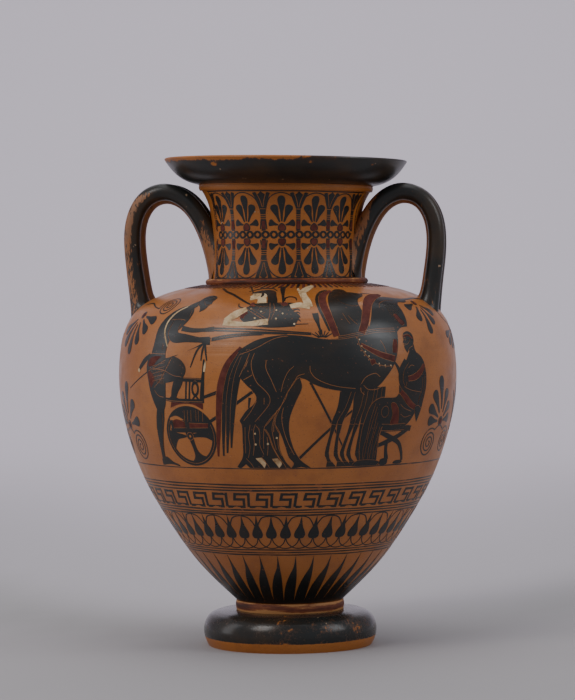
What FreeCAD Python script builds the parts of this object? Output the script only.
"""Black-figure neck-amphora with triple handles.

A wheel-made two-handled storage jar: ovoid body, offset neck with a raised ring
at its root, flaring echinus mouth, disc foot joined through a fillet, and two
upright handles, each of three clay rods luted side by side.  Every member that
the potter made separately is its own solid, and the members meet face to face.

Frame: millimetres, +Z up along the wheel axis, z = 0 on the plane that the foot
rests on, handles in the XZ plane, front of the vessel towards -Y.
"""

import FreeCAD
import Part

import math
import os

# ---------------------------------------------------------------- driving sizes
HEIGHT = 410.0  # resting plane to the top of the lip
WALL = 6.4  # thickness of the thrown body and neck walls
SEAT_WALL = 7.0  # wall where body, neck and mouth meet, left a little thicker
FLOOR_Z = 48.0  # inside floor of the body

# foot: a thrown disc with a hollowed underside
FOOT_TOP_Z = 30.0
FOOT_REST_R = (61.0, 69.0)  # inner and outer edge of the ring that it rests on
FOOT_SIDE = [(FOOT_REST_R[1], 0.0), (72.0, 6.5), (73.0, 14.5), (71.3, 21.0), (67.2, 26.2), (61.5, 28.7)]
FOOT_HOLLOW = [(FOOT_REST_R[0], 0.0), (57.0, 4.5), (44.0, 13.0), (22.0, 18.5), (0.0, 19.5)]

# fillet between foot and body
FILLET_R = 45.2
FILLET_BULGE = 0.7
FILLET_TOP_Z = 38.0
STEM_R = 37.0  # boss under the body that the fillet is laid around

# body, from the fillet up to the seat of the neck
BODY_BASE_R = 44.4
BODY_SIDE = [
    (BODY_BASE_R, FILLET_TOP_Z),
    (61.8, 54.6),
    (77.6, 71.6),
    (101.0, 105.0),
    (120.2, 138.6),
    (133.2, 172.6),
    (140.9, 206.4),
    (142.4, 230.0),
    (140.6, 252.0),
    (135.4, 270.5),
    (125.8, 284.2),
    (111.5, 293.4),
    (91.5, 300.2),
    (69.4, 304.4),
]
SEAT_Z = BODY_SIDE[-1][1]
# the thrown body is kept as four zones of wall, cut at these heights
BODY_ZONES = {
    "body_base": (FOOT_TOP_Z, 100.0),
    "body_lower_wall": (100.0, 180.0),
    "body_belly": (180.0, 262.0),
    "body_shoulder": (262.0, SEAT_Z),
}

# neck and the ring at its root
NECK_ROOT_R = 64.2
RING_R = 68.6
RING_SEAT_R = 67.8
RING_CROWN_R = (67.0, 66.0)  # edges of the ring's rounded top
RING_TOP_Z = 309.2
RING_LAP_Z = 308.7  # where the ring's top runs into the neck
NECK_TOP_Z = 383.2
NECK_SIDE = [
    (NECK_ROOT_R, RING_TOP_Z),
    (62.5, 326.0),
    (62.2, 346.0),
    (63.9, 365.0),
    (67.2, 376.2),
    (71.0, NECK_TOP_Z),
]

# mouth: a small fillet, then the echinus
MOUTH_FILLET_R = (72.7, 73.5, 73.2)  # at its foot, middle and top
MOUTH_FILLET_TOP_Z = 388.0
LIP_R = 102.2
LIP_LAND_R = (93.5, 100.8)  # flat top of the lip
LIP_EDGE = 1.4  # drop of the rounded lip edges
MOUTH_SIDE = [
    (MOUTH_FILLET_R[2], MOUTH_FILLET_TOP_Z),
    (82.6, 390.6),
    (91.6, 395.8),
    (98.0, 402.6),
    (LIP_R, HEIGHT - LIP_EDGE),
]

# handles: one centre line, three rods across it
HANDLE_LINE = [
    (51.0, 303.0),
    (56.0, 318.0),
    (61.8, 337.5),
    (71.8, 361.0),
    (84.5, 376.0),
    (100.0, 382.2),
    (115.0, 378.2),
    (126.0, 364.0),
    (129.8, 343.0),
    (127.6, 315.0),
    (123.5, 285.0),
    (121.5, 268.0),
]
ROD_R = 7.0  # radius of a rod's round sides
ROD_FLAT = 5.8  # from a rod's middle to the side pressed flat against its neighbour
MIDDLE_RISE = 2.6  # how far the middle rod stands into the hand gap beyond the outer two
# growth of the rods' section at each point of HANDLE_LINE
ROD_SWELL = [1.2, 1.12, 1.06, 1.03, 1.03, 1.03, 1.02, 1.0, 1.0, 1.04, 1.12, 1.22]


# --------------------------------------------------------------------- helpers
def at(radius, height):
    """A point of a half section, in the XZ plane."""
    return FreeCAD.Vector(radius, 0, height)


def curve_through(points):
    curve = Part.BSplineCurve()
    curve.interpolate([at(r, z) for r, z in points])
    return curve


def inward(points, depth):
    """The same outline moved towards the inside of the vessel by depth."""
    curve = curve_through(points)
    moved = []
    for r, z in points:
        along = curve.tangent(curve.parameter(at(r, z)))[0]
        moved.append((r - along.z * depth, z + along.x * depth))
    return moved


def line(start, end):
    return Part.makeLine(at(*start), at(*end))


def arc(start, middle, end):
    return Part.Arc(at(*start), at(*middle), at(*end)).toShape()


def turned(edges):
    """One solid of revolution about Z from the closed outline that the edges make."""
    outline = Part.Wire(Part.__sortEdges__(edges))
    solid = Part.Face(outline).revolve(FreeCAD.Vector(), FreeCAD.Vector(0, 0, 1), 360)
    return solid if solid.Volume > 0 else solid.reversed()


# ---------------------------------------------------------------- thrown pieces
def make_foot():
    shoulder = FOOT_SIDE[-1]
    top_edge = (FILLET_R, FOOT_TOP_Z)
    return turned(
        [
            curve_through(FOOT_SIDE).toShape(),
            line(shoulder, top_edge),
            line(top_edge, (0, FOOT_TOP_Z)),
            line((0, FOOT_TOP_Z), FOOT_HOLLOW[-1]),
            curve_through(FOOT_HOLLOW).toShape(),
            line(FOOT_HOLLOW[0], FOOT_SIDE[0]),
        ]
    )


def make_foot_fillet():
    low, high = (FILLET_R, FOOT_TOP_Z), (FILLET_R, FILLET_TOP_Z)
    bulge = (FILLET_R + FILLET_BULGE, (FOOT_TOP_Z + FILLET_TOP_Z) / 2)
    return turned(
        [
            arc(low, bulge, high),
            line(high, (STEM_R, FILLET_TOP_Z)),
            line((STEM_R, FILLET_TOP_Z), (STEM_R, FOOT_TOP_Z)),
            line((STEM_R, FOOT_TOP_Z), low),
        ]
    )


def body_inside():
    """Outline of the cavity: the side moved in by the wall, closed by a dished floor."""
    walls = inward(BODY_SIDE[2:-1], WALL)
    bore = (NECK_ROOT_R - WALL, SEAT_Z)
    under_seat = (bore[0] + 6.0, SEAT_Z - SEAT_WALL)
    return [(0.0, FLOOR_Z), (30.0, FLOOR_Z + 3.6), *walls, under_seat], bore


def make_body():
    cavity, bore = body_inside()
    return turned(
        [
            curve_through(BODY_SIDE).toShape(),
            line(BODY_SIDE[-1], bore),
            line(bore, cavity[-1]),
            curve_through(cavity).toShape(),
            line(cavity[0], (0, FOOT_TOP_Z)),
            line((0, FOOT_TOP_Z), (STEM_R, FOOT_TOP_Z)),
            line((STEM_R, FOOT_TOP_Z), (STEM_R, FILLET_TOP_Z)),
            line((STEM_R, FILLET_TOP_Z), BODY_SIDE[0]),
        ]
    )


def make_body_zones():
    body = make_body()
    reach = 2 * max(r for r, _ in BODY_SIDE)
    zones = {}
    for name, (low, high) in BODY_ZONES.items():
        slab = Part.makeCylinder(reach, high - low, FreeCAD.Vector(0, 0, low))
        zones[name] = body.common(slab).Solids[0]
    return zones


def make_neck_ring():
    seat, root = (RING_SEAT_R, SEAT_Z), (NECK_ROOT_R, SEAT_Z)
    belly = (RING_R, SEAT_Z + 2.2)
    crown = (RING_CROWN_R[0], RING_TOP_Z - 0.3)
    lap = (NECK_ROOT_R, RING_LAP_Z)
    return turned(
        [
            arc(seat, belly, crown),
            arc(crown, (RING_CROWN_R[1], RING_TOP_Z), lap),
            line(lap, root),
            line(root, seat),
        ]
    )


def make_neck():
    bore = [(NECK_ROOT_R - WALL, RING_TOP_Z)] + inward(NECK_SIDE, WALL)[1:-1]
    bore.append((NECK_SIDE[-1][0] - SEAT_WALL, NECK_TOP_Z))
    return turned(
        [
            line((NECK_ROOT_R, SEAT_Z), (NECK_ROOT_R, RING_TOP_Z)),
            curve_through(NECK_SIDE).toShape(),
            line(NECK_SIDE[-1], bore[-1]),
            curve_through(bore).toShape(),
            line(bore[0], (bore[0][0], SEAT_Z)),
            line((bore[0][0], SEAT_Z), (NECK_ROOT_R, SEAT_Z)),
        ]
    )


def make_mouth():
    bore = NECK_SIDE[-1][0] - SEAT_WALL
    inner_land, outer_land = LIP_LAND_R
    dish = [(bore, NECK_TOP_Z), (71.0, 388.6), (80.5, 396.0), (inner_land - 1.2, HEIGHT - LIP_EDGE)]
    fillet_foot = (MOUTH_FILLET_R[0], NECK_TOP_Z)
    fillet_face = (MOUTH_FILLET_R[1], (NECK_TOP_Z + MOUTH_FILLET_TOP_Z) / 2)
    return turned(
        [
            arc(fillet_foot, fillet_face, MOUTH_SIDE[0]),
            curve_through(MOUTH_SIDE).toShape(),
            arc(MOUTH_SIDE[-1], (LIP_R - 0.3, HEIGHT - 0.4), (outer_land, HEIGHT)),
            line((outer_land, HEIGHT), (inner_land, HEIGHT)),
            arc((inner_land, HEIGHT), (inner_land - 0.8, HEIGHT - 0.5), dish[-1]),
            curve_through(dish).toShape(),
            line(dish[0], fillet_foot),
        ]
    )


# --------------------------------------------------------------------- handles
def rod_section(spine, station, swell, seat):
    """Outline of one rod square to the spine.  seat is -1, 0 or 1: front, middle or back rod."""
    place = spine.parameter(at(*station))
    along = spine.tangent(place)[0]
    side = FreeCAD.Vector(0, 1, 0)
    gapward = side.cross(along)
    rise = MIDDLE_RISE if seat == 0 else 0.0
    centre = at(*station) + side * (seat * 2 * ROD_FLAT * swell) + gapward * rise
    flat, radius = ROD_FLAT * swell, ROD_R * swell
    half_flat = math.sqrt(radius**2 - flat**2)

    def point(y, n):
        return centre + side * y + gapward * n

    if seat == 0:
        edges = [
            Part.Arc(point(-flat, half_flat), point(0, radius), point(flat, half_flat)).toShape(),
            Part.makeLine(point(flat, half_flat), point(flat, -half_flat)),
            Part.Arc(point(flat, -half_flat), point(0, -radius), point(-flat, -half_flat)).toShape(),
            Part.makeLine(point(-flat, -half_flat), point(-flat, half_flat)),
        ]
    else:
        luted = -seat * flat
        edges = [
            Part.Arc(point(luted, half_flat), point(seat * radius, 0), point(luted, -half_flat)).toShape(),
            Part.makeLine(point(luted, -half_flat), point(luted, half_flat)),
        ]
    return Part.Wire(edges)


def filled(points):
    """The outline turned and filled to the axis, used to trim the handle roots."""
    (low_r, low_z), (high_r, high_z) = points[0], points[-1]
    return turned(
        [
            curve_through(points).toShape(),
            line((high_r, high_z), (0, high_z)),
            line((0, high_z), (0, low_z)),
            line((0, low_z), (low_r, low_z)),
        ]
    )


def make_rod(seat, trimmers):
    spine = curve_through(HANDLE_LINE)
    sections = [rod_section(spine, p, s, seat) for p, s in zip(HANDLE_LINE, ROD_SWELL)]
    rod = Part.makeLoft(sections, True, False)
    if rod.Volume < 0:
        rod = rod.reversed()
    for tool in trimmers:
        rod = rod.cut(tool)
    return max(rod.Solids, key=lambda solid: solid.Volume)


def make_handles():
    neck_root = turned(
        [
            line((NECK_ROOT_R, SEAT_Z), (NECK_ROOT_R, RING_TOP_Z)),
            curve_through(NECK_SIDE).toShape(),
            line(NECK_SIDE[-1], (0, NECK_TOP_Z)),
            line((0, NECK_TOP_Z), (0, SEAT_Z)),
            line((0, SEAT_Z), (NECK_ROOT_R, SEAT_Z)),
        ]
    )
    trimmers = [neck_root, filled(BODY_SIDE)]
    rods = {}
    for seat, place in ((-1, "front"), (0, "middle"), (1, "back")):
        right = make_rod(seat, trimmers)
        left = right.mirror(FreeCAD.Vector(), FreeCAD.Vector(1, 0, 0))
        rods[f"right_handle_{place}_rod"] = right
        rods[f"left_handle_{place}_rod"] = left
    return rods


# ---------------------------------------------------------------------- output
def main():
    parts = {
        "foot": make_foot(),
        "foot_fillet": make_foot_fillet(),
        **make_body_zones(),
        "neck_ring": make_neck_ring(),
        "neck": make_neck(),
        "mouth": make_mouth(),
        **make_handles(),
    }
    os.makedirs("parts", exist_ok=True)
    for name, shape in parts.items():
        shape.exportStep(f"parts/{name}.step")
        print(f"{name}: valid {shape.isValid()}, {shape.Volume / 1000:.1f} cm3")


main()
